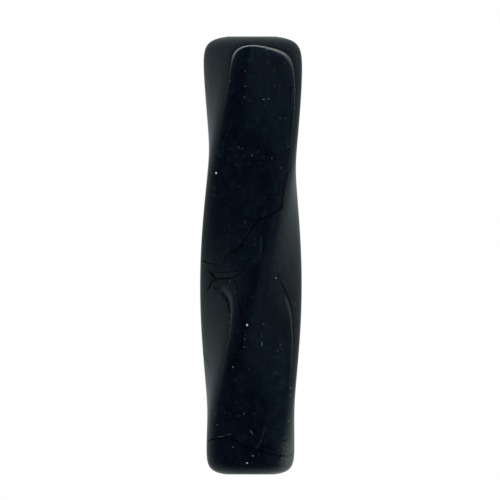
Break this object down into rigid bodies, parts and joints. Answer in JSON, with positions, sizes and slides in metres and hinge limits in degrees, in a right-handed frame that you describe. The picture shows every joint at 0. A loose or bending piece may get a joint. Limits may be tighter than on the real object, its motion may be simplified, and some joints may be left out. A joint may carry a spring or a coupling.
{
  "type": "twisted four-sided stone bar",
  "caption": "Slender twisted four-sided bar of polished black stone with rounded ends and cemented natural fissures.",
  "frame": {"origin": "centre of the lower end face, on the surface that the bar stands on", "axes": "+Z along the bar from its lower end to its upper end; -Y is the side with the visible fissures"},
  "size_m": [0.0094, 0.0095, 0.04],
  "materials": {
    "black_stone": "polished",
    "grey_green_stone": "polished",
    "vein_mineral": "matte"
  },
  "bodies": {
    "root": {"upper_block": "black_stone", "lower_block": "black_stone", "end_block": "black_stone", "left_flake": "black_stone", "lens_chip": "grey_green_stone", "main_fissure_fill": "vein_mineral", "flake_fissure_fill": "vein_mineral", "end_fissure_fill": "vein_mineral", "chip_fissure_fill": "vein_mineral"}
  },
  "joints": []
}
